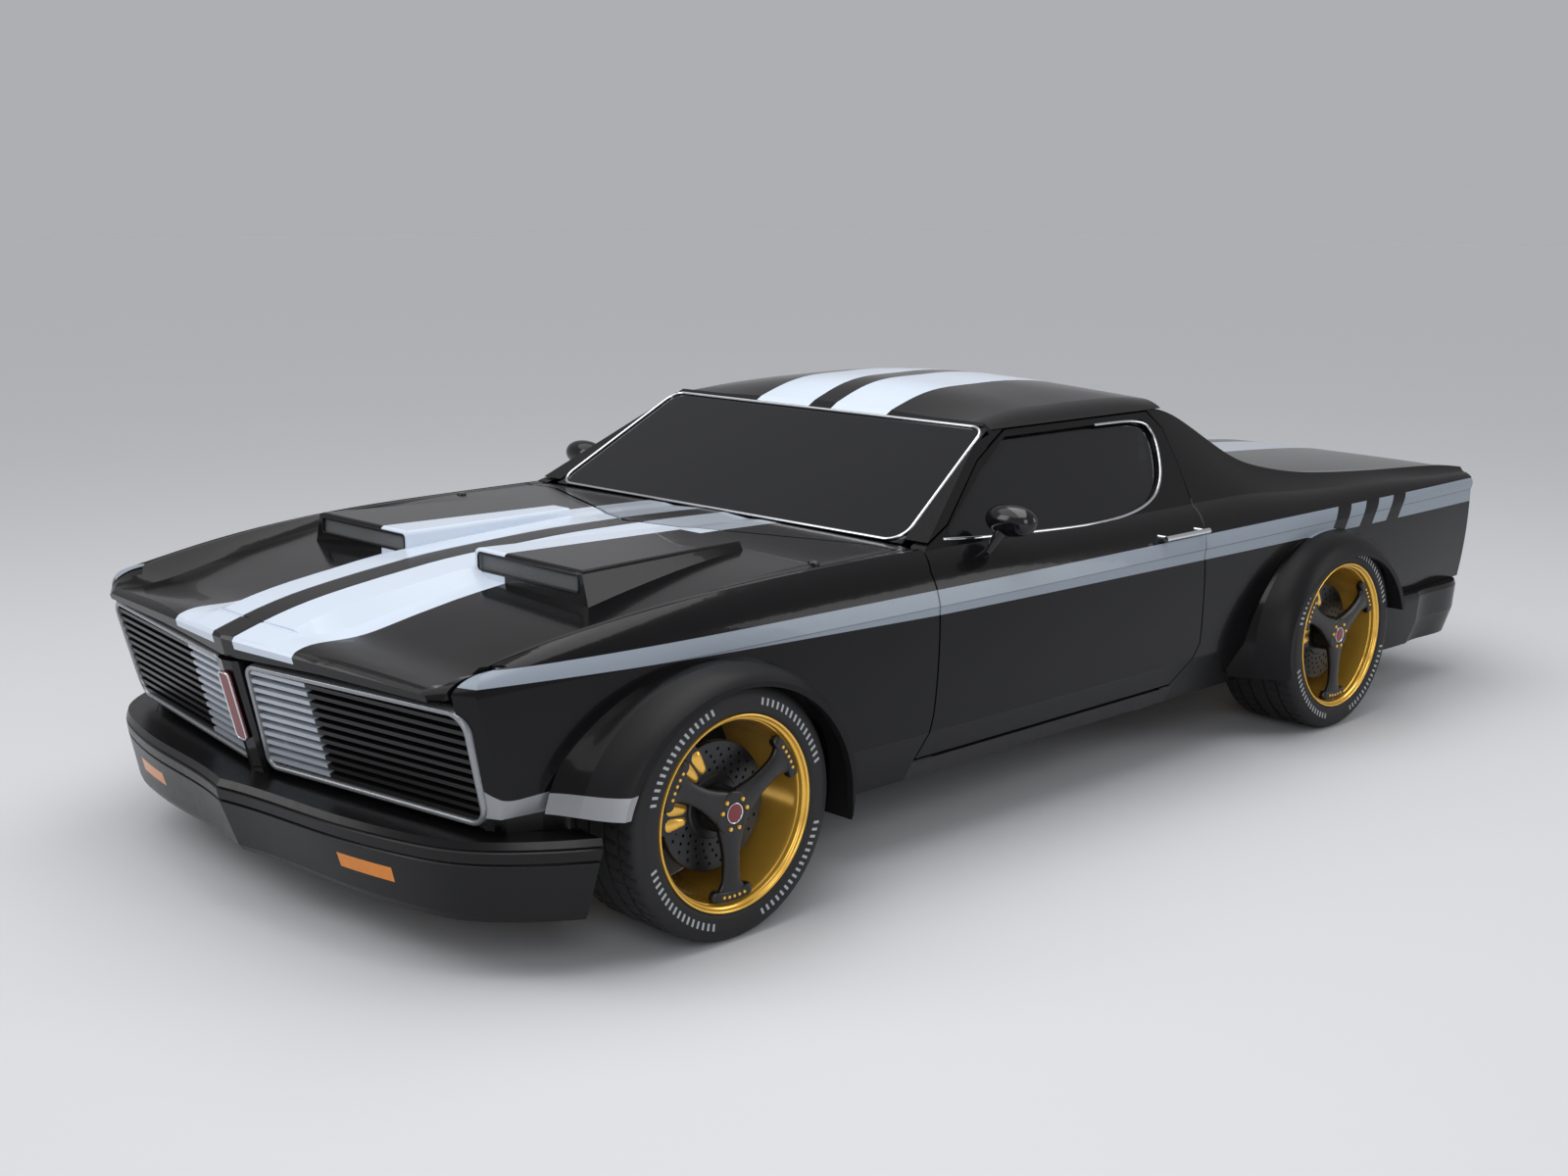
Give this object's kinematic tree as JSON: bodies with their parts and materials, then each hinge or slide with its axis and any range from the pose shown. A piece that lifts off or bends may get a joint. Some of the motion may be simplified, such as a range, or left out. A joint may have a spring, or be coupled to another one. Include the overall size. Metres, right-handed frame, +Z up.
{
  "type": "two-door muscle car with a pickup style rear deck",
  "caption": "Low two-door muscle car with twin hood scoops, split grille, flared arches, sail panels and a flat covered rear deck.",
  "frame": {"origin": "on the ground under the middle of the car's bounding box", "axes": "+X forward, +Y to the car's left, +Z up"},
  "size_m": [4.77, 2.166, 1.2133],
  "materials": {
    "black_paint": "gloss",
    "black_trim": "gloss",
    "glass": "tinted",
    "tyre_rubber": "matte",
    "gold": "polished",
    "black_metal": "satin",
    "satin_chrome": "satin",
    "badge_red": "gloss",
    "amber": "clear",
    "red_lamp": "clear",
    "seat_leather": "satin",
    "chassis": "matte",
    "steel_pipe": "satin"
  },
  "bodies": {
    "car_body": {"badge": "badge_red", "cowl": "black_paint", "dashboard": "black_trim", "engine": "chassis", "exhaust": "steel_pipe", "floor": "chassis", "front_bumper": "black_paint", "front_fender_left": "black_paint", "front_fender_right": "black_paint", "front_suspension": "chassis", "grille": "black_metal", "grille_surround": "satin_chrome", "indicators": "amber", "load_bed": "chassis", "nose_strip": "black_paint", "prop_shaft": "chassis", "quarter_left": "black_paint", "quarter_right": "black_paint", "rear_axle": "chassis", "rear_bumper": "black_paint", "rear_window": "glass", "roof": "black_paint", "seats": "seat_leather", "steering_wheel": "black_trim", "tail_lamps": "red_lamp", "tail_panel": "black_paint", "windscreen": "glass"},
    "door_left_body": {"door_left": "black_paint", "door_glass_left": "glass", "door_mirror_left": "black_trim", "door_handle_left": "satin_chrome"},
    "knuckle_left_body": {"knuckle_left": "chassis"},
    "wheel_front_left": {"tyre_front_left": "tyre_rubber", "rim_front_left": "gold", "wheel_star_front_left": "black_metal"},
    "wheel_rear_left": {"tyre_rear_left": "tyre_rubber", "rim_rear_left": "gold", "wheel_star_rear_left": "black_metal"},
    "door_right_body": {"door_right": "black_paint", "door_glass_right": "glass", "door_mirror_right": "black_trim", "door_handle_right": "satin_chrome"},
    "knuckle_right_body": {"knuckle_right": "chassis"},
    "wheel_front_right": {"tyre_front_right": "tyre_rubber", "rim_front_right": "gold", "wheel_star_front_right": "black_metal"},
    "wheel_rear_right": {"tyre_rear_right": "tyre_rubber", "rim_rear_right": "gold", "wheel_star_rear_right": "black_metal"},
    "hood_body": {"hood": "black_paint", "scoop_mesh": "black_trim"},
    "deck_lid_body": {"deck_lid": "black_paint"}
  },
  "joints": [
    {"name": "steer_left", "type": "hinge", "parent": "car_body", "child": "knuckle_left_body", "pos_m": [1.57, 0.901, 0.326], "axis": [0, 0, 1], "range_deg": [-30, 30]},
    {"name": "spin_front_left", "type": "hinge", "parent": "knuckle_left_body", "child": "wheel_front_left", "pos_m": [1.57, 0.91, 0.326], "axis": [0, 1, 0], "continuous": true},
    {"name": "spin_rear_left", "type": "hinge", "parent": "car_body", "child": "wheel_rear_left", "pos_m": [-1.25, 0.91, 0.326], "axis": [0, 1, 0], "continuous": true},
    {"name": "door_left_hinge", "type": "hinge", "parent": "car_body", "child": "door_left_body", "pos_m": [0.743, 0.974, 0.5], "axis": [0, 0, -1], "range_deg": [0, 62]},
    {"name": "steer_right", "type": "hinge", "parent": "car_body", "child": "knuckle_right_body", "pos_m": [1.57, -0.901, 0.326], "axis": [0, 0, 1], "range_deg": [-30, 30]},
    {"name": "spin_front_right", "type": "hinge", "parent": "knuckle_right_body", "child": "wheel_front_right", "pos_m": [1.57, -0.91, 0.326], "axis": [0, 1, 0], "continuous": true},
    {"name": "spin_rear_right", "type": "hinge", "parent": "car_body", "child": "wheel_rear_right", "pos_m": [-1.25, -0.91, 0.326], "axis": [0, 1, 0], "continuous": true},
    {"name": "door_right_hinge", "type": "hinge", "parent": "car_body", "child": "door_right_body", "pos_m": [0.743, -0.974, 0.5], "axis": [0, 0, 1], "range_deg": [0, 62]},
    {"name": "hood_hinge", "type": "hinge", "parent": "car_body", "child": "hood_body", "pos_m": [0.745, 0, 0.84], "axis": [0, -1, 0], "range_deg": [0, 50]},
    {"name": "deck_lid_hinge", "type": "hinge", "parent": "car_body", "child": "deck_lid_body", "pos_m": [-0.755, 0, 0.85], "axis": [0, 1, 0], "range_deg": [0, 45]}
  ],
  "couplings": [
    {"joint": "steer_right", "follows": "steer_left", "ratio": 1}
  ]
}
